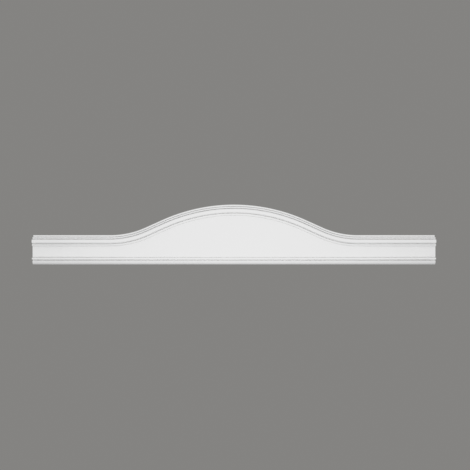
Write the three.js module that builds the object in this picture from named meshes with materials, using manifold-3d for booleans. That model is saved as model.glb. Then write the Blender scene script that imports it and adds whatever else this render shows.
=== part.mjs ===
// Overdoor pediment: one cast moulding whose top edge rises in a low arch between two level wings.
// Millimetres, +Z up. The front looks along -Y and the flat back lies on the wall plane y = 0.
// The origin is on the back, midway along the length and halfway up the level wings.

import * as THREE from "three";
import { mergeVertices } from "three/addons/utils/BufferGeometryUtils.js";
import Module from "manifold-3d";

// Outline of the face
const length = 1275;
const wingHeight = 93; // from the underside to the top edge of a level wing
const archRise = 97; // from a wing's top edge up to the top of the arch
const archSpan = 786; // between the two places where the top edge leaves the wings
const footRadius = 272; // hollow curve that lifts the top edge off a wing
const slopeLength = 58; // straight stretch between the hollow curve and the round top

// Depths are measured forwards from the wall. A member of a moulding starts at the depth "from",
// ends "width" further on at the depth "to", and swells by "swell" in between.
const panelDepth = 20.5;

// Crown moulding, from the outer edge inwards; it follows the whole top edge
const crownMembers = {
  lip: { width: 4.6, from: 7.6, to: 10.4, swell: 0.6 },
  lipGroove: { width: 2.2, from: 7.6, to: 7.6, swell: 0 },
  upperBead: { width: 3.9, from: 20, to: 23.8, swell: 0.9 },
  beadGroove: { width: 2.7, from: 18.4, to: 18.4, swell: 0 },
  coronaShoulder: { width: 2.3, from: 29, to: 33.6, swell: 0.8 },
  coronaFace: { width: 8.3, from: 33.6, to: 33.6, swell: 1.4 },
  coronaReturn: { width: 1.3, from: 33.6, to: 32, swell: 0.4 },
  coronaGroove: { width: 3.4, from: 22.4, to: 22.4, swell: 0 },
  innerOvolo: { width: 5.9, from: 30.4, to: 27.6, swell: 1 },
  innerStep: { width: 1.4, from: 23, to: panelDepth, swell: -0.3 },
};

// Base moulding, from the underside upwards; it runs straight from end to end
const baseMembers = {
  ovolo: { width: 12.1, from: 9.2, to: 23.2, swell: 3.35 },
  groove: { width: 4.1, from: 15.8, to: 15.8, swell: 0 },
  bead: { width: 5.7, from: 30.4, to: 27.6, swell: 2 },
  step: { width: 2.4, from: 22, to: panelDepth, swell: -0.4 },
};

// Fineness of the curves
const crownSteps = 36;
const footSteps = 14;
const crownSwellPoints = 4;
const baseSwellPoints = 8;
const weldTolerance = 1e-4;

const castFoam = new THREE.MeshStandardMaterial({ color: 0xebebeb, roughness: 0.6, metalness: 0 });
const wasm = await Module();
wasm.setup();

// The round top and a hollow curve both touch the straight slope between them, which fixes the
// sum of their radii and the steepness of the slope.
function archShape() {
  const halfSpan = archSpan / 2;
  const bothRadii = (halfSpan ** 2 + archRise ** 2 - slopeLength ** 2) / (2 * archRise);
  const steepness = Math.atan2(halfSpan, bothRadii - archRise) - Math.atan2(slopeLength, bothRadii);
  return { topRadius: bothRadii - footRadius, steepness };
}

// Stations along a line that is made of straight runs and arcs, each with its place and heading.
function walk(start, runs) {
  const stations = [{ ...start, heading: 0 }];
  for (const { straight, radius, turn = 0, steps = 1 } of runs) {
    const stepTurn = turn / steps;
    const chord = straight ?? 2 * radius * Math.sin(Math.abs(stepTurn) / 2);
    for (let step = 0; step < steps; step++) {
      const last = stations.at(-1);
      const along = last.heading + stepTurn / 2;
      const x = last.x + chord * Math.cos(along);
      const z = last.z + chord * Math.sin(along);
      stations.push({ x, z, heading: last.heading + stepTurn });
    }
  }
  return stations;
}

function topEdgeStations() {
  const { topRadius, steepness } = archShape();
  const wing = { straight: (length - archSpan) / 2 };
  const foot = { radius: footRadius, turn: steepness, steps: footSteps };
  const slope = { straight: slopeLength };
  const top = { radius: topRadius, turn: -2 * steepness, steps: crownSteps };
  const start = { x: -length / 2, z: wingHeight / 2 };
  return walk(start, [wing, foot, slope, top, slope, foot, wing]);
}

// A sweep path that stops at each station, and only there.
class StationPath extends THREE.Curve {
  constructor(stations) {
    super();
    this.stations = stations;
    this.steps = stations.length - 1;
  }

  stationAt(share) {
    return this.stations[Math.round(share * this.steps)];
  }

  getPointAt(share) {
    const { x, z } = this.stationAt(share);
    return new THREE.Vector3(x, 0, z);
  }

  getTangentAt(share) {
    const { heading } = this.stationAt(share);
    return new THREE.Vector3(Math.cos(heading), 0, Math.sin(heading));
  }
}

const widthOf = (members) => Object.values(members).reduce((sum, member) => sum + member.width, 0);

// A moulding's section: x runs along the face from its outer edge, and y is minus the depth.
function sectionOf(members) {
  const shape = new THREE.Shape().moveTo(0, 0);
  let edge = 0;
  for (const { width, from, to, swell } of Object.values(members)) {
    shape.lineTo(edge, -from);
    if (swell === 0) {
      shape.lineTo(edge + width, -to);
    } else {
      const slant = Math.hypot(width, to - from);
      const pullX = edge + width / 2 - (2 * swell * (to - from)) / slant;
      const pullY = -(from + to) / 2 - (2 * swell * width) / slant;
      shape.quadraticCurveTo(pullX, pullY, edge + width, -to);
    }
    edge += width;
  }
  shape.lineTo(edge, 0);
  shape.closePath();
  return shape;
}

function solidOf(geometry) {
  geometry.deleteAttribute("normal");
  geometry.deleteAttribute("uv");
  const merged = mergeVertices(geometry, weldTolerance);
  const vertProperties = new Float32Array(merged.attributes.position.array);
  const triVerts = new Uint32Array(merged.index.array);
  return new wasm.Manifold(new wasm.Mesh({ numProp: 3, vertProperties, triVerts }));
}

// The crown moulding, swept along the top edge with its section square to it.
function crown() {
  const path = new StationPath(topEdgeStations());
  return new THREE.ExtrudeGeometry(sectionOf(crownMembers), {
    extrudePath: path,
    steps: path.steps,
    curveSegments: crownSwellPoints,
  });
}

// The straight base moulding, with its flat underside on the lowest plane.
function base() {
  const geometry = new THREE.ExtrudeGeometry(sectionOf(baseMembers), {
    depth: length,
    bevelEnabled: false,
    curveSegments: baseSwellPoints,
  });
  const turned = new THREE.Matrix4().makeBasis(
    new THREE.Vector3(0, 0, 1),
    new THREE.Vector3(0, 1, 0),
    new THREE.Vector3(-1, 0, 0),
  );
  return geometry.applyMatrix4(turned).translate(length / 2, 0, -wingHeight / 2);
}

// How far inside a moulding's outer edge the panel's edge is hidden: in the member next to the step.
function hiddenInset(members) {
  const [carrier, step] = Object.values(members).slice(-2);
  return widthOf(members) - step.width - carrier.width / 2;
}

// The flat panel between the two mouldings.
function panel() {
  const inset = hiddenInset(crownMembers);
  const low = hiddenInset(baseMembers) - wingHeight / 2;
  const topEdge = topEdgeStations().map(
    ({ x, z, heading }) =>
      new THREE.Vector2(x + inset * Math.sin(heading), z - inset * Math.cos(heading)),
  );
  const lowCorners = [new THREE.Vector2(length / 2, low), new THREE.Vector2(-length / 2, low)];
  const shape = new THREE.Shape([...topEdge, ...lowCorners]);
  const geometry = new THREE.ExtrudeGeometry(shape, { depth: panelDepth, bevelEnabled: false });
  return geometry.rotateX(Math.PI / 2);
}

function pediment() {
  const solid = [base(), panel()].reduce((sum, part) => sum.add(solidOf(part)), solidOf(crown()));
  const { vertProperties, triVerts } = solid.getMesh();
  const geometry = new THREE.BufferGeometry();
  geometry.setAttribute("position", new THREE.BufferAttribute(vertProperties, 3));
  geometry.setIndex(new THREE.BufferAttribute(triVerts, 1));
  geometry.computeVertexNormals();
  const mesh = new THREE.Mesh(geometry, castFoam);
  mesh.name = "pediment";
  return mesh;
}

export default new THREE.Group().add(pediment());
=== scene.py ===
import math

import bmesh
import bpy
from bpy.props import FloatProperty, FloatVectorProperty, PointerProperty, StringProperty
from mathutils import Matrix, Vector


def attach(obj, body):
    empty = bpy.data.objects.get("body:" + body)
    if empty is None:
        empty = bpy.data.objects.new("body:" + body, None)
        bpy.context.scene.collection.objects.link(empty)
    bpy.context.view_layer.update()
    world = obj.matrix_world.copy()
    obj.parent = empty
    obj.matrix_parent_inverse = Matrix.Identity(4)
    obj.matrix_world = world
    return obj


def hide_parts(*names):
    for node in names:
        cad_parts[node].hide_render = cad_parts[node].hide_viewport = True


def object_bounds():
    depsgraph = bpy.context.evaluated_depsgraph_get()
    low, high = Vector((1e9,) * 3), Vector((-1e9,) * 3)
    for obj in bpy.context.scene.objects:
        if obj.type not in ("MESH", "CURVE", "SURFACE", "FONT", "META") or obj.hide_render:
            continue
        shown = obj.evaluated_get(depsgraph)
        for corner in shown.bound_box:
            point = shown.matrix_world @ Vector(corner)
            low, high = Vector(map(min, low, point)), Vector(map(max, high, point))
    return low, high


bl_info = {
    "name": "Overdoor Pediment",
    "version": (1, 0, 0),
    "blender": (4, 5, 0),
    "location": "3D View > Sidebar > Pediment",
    "description": "Builds a cast and primed overdoor pediment, and a plain studio round it",
    "category": "Object",
}

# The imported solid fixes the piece's length, height and depth. Metres, +Z up, front towards -Y.
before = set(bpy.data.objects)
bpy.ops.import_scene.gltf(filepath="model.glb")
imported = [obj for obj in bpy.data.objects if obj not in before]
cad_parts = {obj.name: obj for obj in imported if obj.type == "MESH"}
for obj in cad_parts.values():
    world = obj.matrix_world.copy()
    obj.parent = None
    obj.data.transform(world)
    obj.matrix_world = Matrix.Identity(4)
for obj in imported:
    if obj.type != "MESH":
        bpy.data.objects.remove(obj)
CAD_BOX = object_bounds()
LOW, HIGH = CAD_BOX

MM = 0.001
TINY = 1e-6  # places that lie nearer than this are one
SENSOR_WIDTH = 36  # of the camera, in millimetres

# Fineness of the mesh
SWELL_STEPS = 7
ARRIS_STEPS = 3
FOOT_STEPS = 40
TOP_STEPS = 96
FLOOR_SIDES = 96
SHARP_TURN = math.radians(24)  # a section's corner that turns further than this is rounded
SHARP_EDGE = math.radians(38)  # an edge between faces that turn further than this stays crisp
PANEL_STUB = 3  # a section runs on into the panel by this many arrises, to round its corner

# How bare the foam is: 0 under the full primer, 1 where there is none
BARE = "bare"  # the vertex attribute that holds it
ARRIS_BARE = 0.34
BACK_BARE = 1
HIDING_PRIMER = 0.45  # as bare as this, the primer still hides the foam
FRAYING = 0.5  # how much barer a tongue of the primer's frayed edge gets

# Sizes in the finish
COAT_PATCH = 70 * MM  # across a patch where the primer lies thick or thin
FRAY_TONGUE = 6 * MM
SKIN_WAVE = 45 * MM  # from crest to crest
SKIN_DEPTH = 0.25 * MM
BUBBLE_SPACING = 10 * MM  # inside the foam: those that break its skin are about 30 mm apart
PINHOLE_RADIUS = 0.5 * MM
PINHOLE_DEPTH = 0.4 * MM
PEEL_SIZE = 3 * MM
PEEL_DEPTH = 0.08 * MM
CELL_SIZE = 1.2 * MM
CELL_DEPTH = 0.25 * MM

# Roughness of the finish
THIN_PRIMER_ROUGHNESS = 0.56
THICK_PRIMER_ROUGHNESS = 0.66
FOAM_ROUGHNESS = 0.9

WHITE = "#FFFFFF"

# The film: light that reaches it, and light that the picture shows for it
ALL_COLOURS = 3  # the curve that acts on red, green and blue alike
FILM_CURVE = (
    (0.3, 0.3),
    (0.45, 0.443),
    (0.55, 0.53),
    (0.64, 0.629),
    (0.72, 0.711),
    (0.78, 0.765),
    (0.83, 0.792),
    (0.89, 0.812),
)
FILM_WHITE = (1, 0.835)


# Properties


def length(name, description, millimetres):
    return FloatProperty(
        name=name, description=description, default=millimetres * MM, min=0, unit="LENGTH"
    )


def member(name, width, start, end, swell):
    """One member of a moulding: its width along the face, the two depths it joins, its swell."""
    return FloatVectorProperty(
        name=name,
        description="Width along the face, depth where it starts, depth where it ends, swell",
        size=4,
        default=(width * MM, start * MM, end * MM, swell * MM),
        unit="LENGTH",
    )


def colour(name, description, code):
    return StringProperty(name=name, description=description, default=code)


class PedimentOutline(bpy.types.PropertyGroup):
    """The outline of the face, and the panel inside it"""

    length: FloatProperty(
        name="Length", description="From end to end", default=HIGH.x - LOW.x, unit="LENGTH"
    )
    underside: FloatProperty(
        name="Underside", description="Height of the flat underside", default=LOW.z, unit="LENGTH"
    )
    arch_top: FloatProperty(
        name="Arch top", description="Height of the arch's top", default=HIGH.z, unit="LENGTH"
    )
    wing_height: length("Wing height", "From the underside to a level wing's top edge", 93)
    arch_span: length("Arch span", "Between the places where the top edge leaves the wings", 786)
    foot_radius: length("Foot radius", "Hollow curve that lifts the top edge off a wing", 272)
    slope_length: length("Slope length", "Straight stretch between a foot and the round top", 58)
    panel_depth: length("Panel depth", "From the wall to the face of the panel", 20.5)
    arris: length("Arris", "How far from each corner the mould rounds it off", 0.4)
    overspray: length("Overspray", "How far the primer reaches in over the bare back", 7)


class CrownMoulding(bpy.types.PropertyGroup):
    """Members of the crown moulding, from the outer edge inwards"""

    lip: member("Lip", 4.6, 7.6, 10.4, 0.6)
    lip_groove: member("Groove under the lip", 2.2, 7.6, 7.6, 0)
    upper_bead: member("Upper bead", 3.9, 20, 23.8, 0.9)
    bead_groove: member("Groove under the bead", 2.7, 18.4, 18.4, 0)
    corona_shoulder: member("Corona, shoulder", 2.3, 29, 33.6, 0.8)
    corona_face: member("Corona, face", 8.3, 33.6, 33.6, 1.4)
    corona_return: member("Corona, return", 1.3, 33.6, 32, 0.4)
    corona_groove: member("Groove under the corona", 3.4, 22.4, 22.4, 0)
    inner_ovolo: member("Inner ovolo", 5.9, 30.4, 27.6, 1)
    inner_step: member("Step to the panel", 1.4, 23, 20.5, -0.3)


class BaseMoulding(bpy.types.PropertyGroup):
    """Members of the base moulding, from the underside upwards"""

    ovolo: member("Ovolo", 12.1, 9.2, 23.2, 3.35)
    groove: member("Groove", 4.1, 15.8, 15.8, 0)
    bead: member("Bead", 5.7, 30.4, 27.6, 2)
    step: member("Step to the panel", 2.4, 18, 20.5, -0.4)


class PrimerLook(bpy.types.PropertyGroup):
    """The finish of the primed foam"""

    white: colour("White", "Primer where it lies thick", "#EBEBEB")
    dull: colour("Dull white", "Primer where it lies thin", "#E6E6E6")
    foam: colour("Foam", "Bare foam on the back", "#EDE6D0")
    dark_foam: colour("Dark foam", "Bare foam where its cells are tighter", "#E5DCC2")


class StudioSetup(bpy.types.PropertyGroup):
    """Floor, light and camera"""

    floor_colour: colour("Floor", "Pale floor", "#D4D4D4")
    backdrop: colour("Backdrop", "Plain grey behind the piece", "#848381")
    floor_drop: length("Floor drop", "From the origin down to the floor, as over a door", 2100)
    floor_radius: length("Floor radius", "Radius of the round floor", 5500)
    ambient: FloatProperty(
        name="Ambient", description="Radiance of the light from all round", default=0.655, min=0
    )
    lamp_power: FloatProperty(
        name="Lamp power", description="Power of the soft lamp", default=7.6, min=0, unit="POWER"
    )
    lamp_distance: length("Lamp distance", "From the wall to the lamp", 1250)
    lamp_drop: length("Lamp drop", "From the middle of the piece down to the lamp's middle", 100)
    lamp_right: length("Lamp right", "How far the lamp stands right of the middle", 15)
    lamp_width: length("Lamp width", "Width of the lamp", 800)
    lamp_height: length("Lamp height", "Height of the lamp", 400)
    camera_distance: length("Camera distance", "From the foremost face to the lens", 3050)
    picture_width: length("Picture width", "Width in the picture at the foremost face", 1480.5)
    camera_right: length("Camera right", "How far the camera stands right of the middle", 3.2)
    camera_low: length("Camera low", "How far the camera is below the middle of the height", 1.6)


# Mesh


def turn(bm, geom, centre, axis, angle, steps, offset=(0, 0, 0)):
    """Draws geometry round an axis in even steps, and returns its far end."""
    made = bmesh.ops.spin(
        bm,
        geom=geom,
        cent=centre,
        axis=axis,
        dvec=offset,
        angle=angle,
        steps=steps,
        use_merge=False,
        use_normal_flip=False,
        use_duplicate=False,
    )
    return made["geom_last"]


def draw(bm, geom, offset):
    """Draws geometry out in a straight line, and returns its far end."""
    return turn(bm, geom, (0, 0, 0), (1, 0, 0), 0, 1, offset)


def draw_swell(bm, tip, end, swell):
    """Draws a vertex to a point along a round stretch that bulges forwards by the swell."""
    start = tip[0].co.copy()
    chord = end - start
    forward = chord.cross(Vector((1, 0, 0))).normalized()
    if forward.y > 0:
        forward.negate()
    radius = (chord.length**2 / 4 + swell**2) / (2 * abs(swell))
    centre = (start + end) / 2 - forward * math.copysign(radius - abs(swell), swell)
    first, last = start - centre, end - centre
    angle = math.atan2(first.cross(last).x, first.dot(last))
    return turn(bm, tip, centre, (1, 0, 0), angle, SWELL_STEPS)


def draw_section(bm, group, corner, along, outline):
    """Draws a moulding's section from the wall to the panel, in the plane of the left end."""
    old = set(bm.verts)
    tip = [bm.verts.new(corner)]
    edge = 0
    for name in group.__annotations__:
        width, start, end, swell = getattr(group, name)
        step = corner + along * edge + Vector((0, -start, 0)) - tip[0].co
        if step.length > TINY:
            tip = draw(bm, tip, step)
        edge += width
        point = corner + along * edge + Vector((0, -end, 0))
        tip = draw_swell(bm, tip, point, swell) if swell else draw(bm, tip, point - tip[0].co)
    draw(bm, tip, along * PANEL_STUB * outline.arris)
    round_corners(bm, [v for v in bm.verts if v not in old], outline.arris)
    verts = [v for v in bm.verts if v not in old]
    edges = dict.fromkeys(edge for v in verts for edge in v.link_edges)
    return [*verts, *edges]


def round_corners(bm, verts, arris):
    """Rounds a section's corners as a mould does. The primer runs thin on the outer ones."""
    corners = []
    tips = []
    for vert in verts:
        if len(vert.link_edges) == 2:
            before, after = (edge.other_vert(vert).co - vert.co for edge in vert.link_edges)
            if math.pi - before.angle(after) > SHARP_TURN:
                corners.append(vert)
                if before.normalized().y + after.normalized().y > 0:
                    tips.append(vert.co.copy())
    made = bmesh.ops.bevel(
        bm,
        geom=corners,
        offset=arris,
        offset_type="OFFSET",
        segments=ARRIS_STEPS,
        profile=0.5,
        affect="VERTICES",
        clamp_overlap=True,
        material=-1,
    )
    bare = bm.verts.layers.float[BARE]
    for vert in made["verts"]:
        if any((vert.co - tip).length < arris - TINY for tip in tips):
            vert[bare] = ARRIS_BARE


def sweep_crown(bm, outline, crown):
    """Sweeps the crown moulding over wing, foot, slope, round top, slope, foot and wing."""
    half_span = outline.arch_span / 2
    wing_top = outline.underside + outline.wing_height
    rise = outline.arch_top - wing_top
    # The round top and a foot both touch the straight slope between them.
    radii = (half_span**2 + rise**2 - outline.slope_length**2) / (2 * rise)
    steepness = math.atan2(half_span, radii - rise) - math.atan2(outline.slope_length, radii)
    top_centre = (0, 0, outline.arch_top - (radii - outline.foot_radius))
    foot_height = wing_top + outline.foot_radius
    wing = Vector((outline.length / 2 - half_span, 0, 0))
    uphill = Vector((math.cos(steepness), 0, math.sin(steepness))) * outline.slope_length
    downhill = Vector((uphill.x, 0, -uphill.z))
    corner = Vector((-outline.length / 2, 0, wing_top))

    geom = draw_section(bm, crown, corner, Vector((0, 0, -1)), outline)
    geom = draw(bm, geom, wing)
    geom = turn(bm, geom, (-half_span, 0, foot_height), (0, -1, 0), steepness, FOOT_STEPS)
    geom = draw(bm, geom, uphill)
    geom = turn(bm, geom, top_centre, (0, 1, 0), 2 * steepness, TOP_STEPS)
    geom = draw(bm, geom, downhill)
    geom = turn(bm, geom, (half_span, 0, foot_height), (0, -1, 0), steepness, FOOT_STEPS)
    draw(bm, geom, wing)


def open_rows(bm, depth):
    """The open edges that run lengthwise at a depth in front of the wall."""
    return [
        edge
        for edge in bm.edges
        if edge.is_boundary
        and all(abs(v.co.y + depth) < TINY for v in edge.verts)
        and abs(edge.verts[0].co.x - edge.verts[1].co.x) > TINY
    ]


def sweep_base(bm, outline, base):
    """Draws the base moulding along the piece, with a station under each one of the crown's."""
    inner_row = {v for edge in open_rows(bm, outline.panel_depth) for v in edge.verts}
    stations = sorted(v.co.x for v in inner_row)
    corner = Vector((-outline.length / 2, 0, outline.underside))
    geom = draw_section(bm, base, corner, Vector((0, 0, 1)), outline)
    for before, after in zip(stations, stations[1:]):
        geom = draw(bm, geom, Vector((after - before, 0, 0)))


def bare_back(bm, overspray):
    """Leaves the flat back unprimed, but for the overspray round its rim."""
    back = [face for face in bm.faces if all(vert.co.y > -TINY for vert in face.verts)]
    bmesh.ops.inset_region(
        bm, faces=back, thickness=overspray, use_boundary=True, use_even_offset=True
    )
    bare = bm.verts.layers.float[BARE]
    for face in back:
        for vert in face.verts:
            vert[bare] = BACK_BARE


def cast_pediment(outline, crown, base):
    """The whole casting as one closed mesh."""
    bm = bmesh.new()
    bm.verts.layers.float.new(BARE)
    sweep_crown(bm, outline, crown)
    sweep_base(bm, outline, base)
    for depth in (outline.panel_depth, 0):
        bmesh.ops.bridge_loops(bm, edges=open_rows(bm, depth))
    bmesh.ops.holes_fill(bm, edges=[e for e in bm.edges if e.is_boundary], sides=0)
    bmesh.ops.recalc_face_normals(bm, faces=bm.faces[:])
    bare_back(bm, outline.overspray)
    loose = [e for e in bm.edges if not e.is_manifold]
    if loose:
        raise RuntimeError(f"the casting has {len(loose)} open or doubled edges")
    return bm


def add_object(name, bm):
    mesh = bpy.data.meshes.new(name)
    bm.to_mesh(mesh)
    bm.free()
    made = bpy.data.objects.new(name, mesh)
    bpy.context.scene.collection.objects.link(made)
    return made


# Materials


def linear(code):
    """Turns an sRGB hex colour into the linear colour that shaders take."""
    parts = [int(code[i : i + 2], 16) / 255 for i in (1, 3, 5)]
    return [p / 12.92 if p <= 0.04045 else ((p + 0.055) / 1.055) ** 2.4 for p in parts] + [1.0]


def add_node(tree, kind, inputs=None, **settings):
    """Adds a node with its settings. An input is a value, or a socket that is linked to it."""
    node = tree.nodes.new(kind)
    for name, value in settings.items():
        setattr(node, name, value)
    for name, value in (inputs or {}).items():
        if isinstance(value, bpy.types.NodeSocket):
            tree.links.new(value, node.inputs[name])
        else:
            node.inputs[name].default_value = value
    return node


def empty_material(name):
    material = bpy.data.materials.new(name)
    material.use_nodes = True
    material.node_tree.nodes.clear()
    return material, material.node_tree


def primed_foam(look):
    """Cast polyurethane foam, sprayed with a matt white primer but for its flat back.

    The foam copies the mould's skin, so it is smooth but not quite flat, with a pinhole here and
    there. The primer lies thicker in places and dries with a fine orange peel that softens every
    gloss. It runs thin on the arrises. The bare back is cream, dull and finely cellular.
    """
    material, tree = empty_material("Primed polyurethane foam")
    place = add_node(tree, "ShaderNodeTexCoord").outputs["Object"]
    coat = add_node(
        tree, "ShaderNodeTexNoise", {"Vector": place, "Scale": 1 / COAT_PATCH, "Detail": 4.0}
    ).outputs["Fac"]
    bareness = frayed_bareness(tree, place)
    primer_roughness = add_node(
        tree,
        "ShaderNodeMapRange",
        {"Value": coat, "To Min": THIN_PRIMER_ROUGHNESS, "To Max": THICK_PRIMER_ROUGHNESS},
    ).outputs["Result"]
    roughness = add_node(
        tree, "ShaderNodeMix", {"Factor": bareness, "A": primer_roughness, "B": FOAM_ROUGHNESS}
    ).outputs["Result"]
    shader = add_node(
        tree,
        "ShaderNodeBsdfPrincipled",
        {
            "Base Color": primer_over_foam(tree, look, coat, bareness),
            "Roughness": roughness,
            "Normal": cast_relief(tree, place, bareness),
            "IOR": 1.46,
        },
    ).outputs["BSDF"]
    add_node(tree, "ShaderNodeOutputMaterial", {"Surface": shader})
    return material


def frayed_bareness(tree, place):
    """How much foam shows. The primer's edge is frayed, as a spray gun leaves it."""
    fray = add_node(
        tree, "ShaderNodeTexNoise", {"Vector": place, "Scale": 1 / FRAY_TONGUE, "Detail": 3.0}
    ).outputs["Fac"]
    bare = add_node(tree, "ShaderNodeAttribute", attribute_name=BARE).outputs["Fac"]
    frayed = add_node(
        tree, "ShaderNodeMath", {0: fray, 1: FRAYING, 2: bare}, operation="MULTIPLY_ADD"
    ).outputs["Value"]
    return add_node(
        tree,
        "ShaderNodeMapRange",
        {"Value": frayed, "From Min": HIDING_PRIMER, "From Max": 1.0},
        interpolation_type="SMOOTHSTEP",
    ).outputs["Result"]


def primer_over_foam(tree, look, coat, bareness):
    """White primer, duller where it lies thin, over cream foam."""
    primer_tone = add_node(
        tree,
        "ShaderNodeMix",
        {"Factor": coat, "A": linear(look.dull), "B": linear(look.white)},
        data_type="RGBA",
    ).outputs["Result"]
    foam_tone = add_node(
        tree,
        "ShaderNodeMix",
        {"Factor": coat, "A": linear(look.dark_foam), "B": linear(look.foam)},
        data_type="RGBA",
    ).outputs["Result"]
    return add_node(
        tree,
        "ShaderNodeMix",
        {"Factor": bareness, "A": primer_tone, "B": foam_tone},
        data_type="RGBA",
    ).outputs["Result"]


def cast_relief(tree, place, bareness):
    """Waves of the mould's skin, pinholes, orange peel, and open cells where the foam is bare."""
    skin = add_node(
        tree, "ShaderNodeTexNoise", {"Vector": place, "Scale": 1 / SKIN_WAVE, "Detail": 1.0}
    ).outputs["Fac"]
    waves = add_node(
        tree, "ShaderNodeBump", {"Strength": 0.5, "Distance": SKIN_DEPTH, "Height": skin}
    ).outputs["Normal"]
    # A bubble that broke at the skin leaves a pinhole up to 1 mm across.
    bubble = add_node(
        tree, "ShaderNodeTexVoronoi", {"Vector": place, "Scale": 1 / BUBBLE_SPACING}
    ).outputs["Distance"]
    pit = add_node(
        tree,
        "ShaderNodeMapRange",
        {"Value": bubble, "From Max": PINHOLE_RADIUS / BUBBLE_SPACING},
        interpolation_type="SMOOTHSTEP",
    ).outputs["Result"]
    pinholes = add_node(
        tree,
        "ShaderNodeBump",
        {"Strength": 0.8, "Distance": PINHOLE_DEPTH, "Height": pit, "Normal": waves},
    ).outputs["Normal"]
    # Orange peel is about 1.5 mm across. It is drawn at 3 mm, because finer doesn't show.
    peel = add_node(
        tree, "ShaderNodeTexNoise", {"Vector": place, "Scale": 1 / PEEL_SIZE, "Detail": 2.0}
    ).outputs["Fac"]
    grain = add_node(
        tree,
        "ShaderNodeBump",
        {"Strength": 0.35, "Distance": PEEL_DEPTH, "Height": peel, "Normal": pinholes},
    ).outputs["Normal"]
    # Foam cells are about 0.3 mm across. They are drawn at 1.2 mm, because finer doesn't show.
    cell = add_node(
        tree, "ShaderNodeTexVoronoi", {"Vector": place, "Scale": 1 / CELL_SIZE}
    ).outputs["Distance"]
    open_cell = add_node(
        tree, "ShaderNodeMath", {0: cell, 1: bareness}, operation="MULTIPLY"
    ).outputs["Value"]
    return add_node(
        tree,
        "ShaderNodeBump",
        {"Strength": 0.6, "Distance": CELL_DEPTH, "Height": open_cell, "Normal": grain},
    ).outputs["Normal"]


def pale_floor(studio):
    """Painted studio floor: pale, matt and plain."""
    material, tree = empty_material("Matt floor paint")
    paint = add_node(
        tree,
        "ShaderNodeBsdfPrincipled",
        {"Base Color": linear(studio.floor_colour), "Roughness": 0.9},
    )
    add_node(tree, "ShaderNodeOutputMaterial", {"Surface": paint.outputs["BSDF"]})
    return material


# Operators


class PEDIMENT_OT_casting(bpy.types.Operator):
    """Cast the pediment in one piece and prime it"""

    bl_idname = "pediment.casting"
    bl_label = "Casting"

    def execute(self, context):
        scene = context.scene
        bm = cast_pediment(scene.pediment_outline, scene.pediment_crown, scene.pediment_base)
        piece = add_object("cast_pediment", bm)
        piece.data.shade_smooth()
        piece.data.set_sharp_from_angle(angle=SHARP_EDGE)
        even = piece.modifiers.new("Even shading", "WEIGHTED_NORMAL")
        even.keep_sharp = True
        piece.data.materials.append(primed_foam(scene.pediment_primer))
        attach(piece, "root")
        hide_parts("pediment")
        return {"FINISHED"}


class PEDIMENT_OT_stage(bpy.types.Operator):
    """Set up the floor, the soft light and the camera"""

    bl_idname = "pediment.stage"
    bl_label = "Stage"

    def execute(self, context):
        studio = context.scene.pediment_studio
        add_floor(studio)
        light_room(studio, context.scene)
        add_lamp(studio, context.scene)
        add_camera(studio, context.scene)
        return {"FINISHED"}


def add_floor(studio):
    bm = bmesh.new()
    bmesh.ops.create_circle(
        bm,
        cap_ends=True,
        segments=FLOOR_SIDES,
        radius=studio.floor_radius,
        matrix=Matrix.Translation((0, 0, -studio.floor_drop)),
    )
    floor = add_object("floor", bm)
    floor.data.materials.append(pale_floor(studio))


def light_room(studio, scene):
    """Soft light from all round. The camera itself sees a plain grey backdrop in its place."""
    world = bpy.data.worlds.new("Studio")
    world.use_nodes = True
    tree = world.node_tree
    tree.nodes.clear()
    room = add_node(
        tree, "ShaderNodeBackground", {"Color": linear(WHITE), "Strength": studio.ambient}
    ).outputs["Background"]
    seen = add_node(
        tree, "ShaderNodeBackground", {"Color": linear(studio.backdrop)}
    ).outputs["Background"]
    by_camera = add_node(tree, "ShaderNodeLightPath").outputs["Is Camera Ray"]
    both = add_node(tree, "ShaderNodeMixShader", {"Fac": by_camera, 1: room, 2: seen})
    add_node(tree, "ShaderNodeOutputWorld", {"Surface": both.outputs["Shader"]})
    scene.world = world


def middle():
    return (LOW + HIGH) / 2


def add_lamp(studio, scene):
    """A wide soft lamp in front of the middle."""
    lamp = bpy.data.lights.new("front_lamp", "AREA")
    lamp.shape = "RECTANGLE"
    lamp.size = studio.lamp_width
    lamp.size_y = studio.lamp_height
    lamp.energy = studio.lamp_power
    made = bpy.data.objects.new("front_lamp", lamp)
    place = Vector((studio.lamp_right, -studio.lamp_distance, middle().z - studio.lamp_drop))
    made.location = place
    made.rotation_euler = (middle() - place).to_track_quat("-Z", "Y").to_euler()
    made.visible_camera = False
    scene.collection.objects.link(made)


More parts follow.
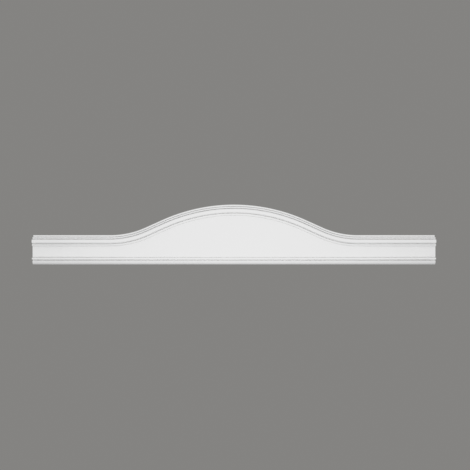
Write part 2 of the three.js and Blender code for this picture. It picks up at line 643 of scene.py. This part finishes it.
def add_camera(studio, scene):
    """The camera faces the piece squarely, level with its middle."""
    camera = bpy.data.cameras.new("camera")
    camera.sensor_width = SENSOR_WIDTH
    camera.lens = SENSOR_WIDTH * studio.camera_distance / studio.picture_width
    made = bpy.data.objects.new("camera", camera)
    made.location = (
        studio.camera_right,
        LOW.y - studio.camera_distance,
        middle().z - studio.camera_low,
    )
    made.rotation_euler = (math.pi / 2, 0, 0)
    scene.collection.objects.link(made)
    scene.camera = made
    set_film(scene.view_settings)


def set_film(view):
    """Plain colours, but the film deepens light greys and holds back whites, as a camera does."""
    view.view_transform = "Standard"
    view.use_curve_mapping = True
    curve = view.curve_mapping.curves[ALL_COLOURS]
    curve.points[1].location = FILM_WHITE
    for point in FILM_CURVE:
        curve.points.new(*point)
    view.curve_mapping.update()


class PEDIMENT_PT_sidebar(bpy.types.Panel):
    """Sizes, colours and operators of the pediment"""

    bl_idname = "PEDIMENT_PT_sidebar"
    bl_label = "Overdoor Pediment"
    bl_space_type = "VIEW_3D"
    bl_region_type = "UI"
    bl_category = "Pediment"

    def draw(self, context):
        for name in GROUPS:
            group = getattr(context.scene, name)
            box = self.layout.box()
            box.label(text=group.bl_rna.description)
            for prop in group.__annotations__:
                box.prop(group, prop)
        for operator in OPERATORS:
            self.layout.operator(operator.bl_idname)


GROUPS = {
    "pediment_outline": PedimentOutline,
    "pediment_crown": CrownMoulding,
    "pediment_base": BaseMoulding,
    "pediment_primer": PrimerLook,
    "pediment_studio": StudioSetup,
}
OPERATORS = (PEDIMENT_OT_casting, PEDIMENT_OT_stage)
CLASSES = (*GROUPS.values(), *OPERATORS, PEDIMENT_PT_sidebar)


def register():
    for made in CLASSES:
        bpy.utils.register_class(made)
    for name, group in GROUPS.items():
        setattr(bpy.types.Scene, name, PointerProperty(type=group))


def unregister():
    for name in GROUPS:
        delattr(bpy.types.Scene, name)
    for made in reversed(CLASSES):
        bpy.utils.unregister_class(made)


def main():
    register()
    bpy.ops.pediment.casting()
    bpy.ops.pediment.stage()


if __name__ == "__main__":
    main()
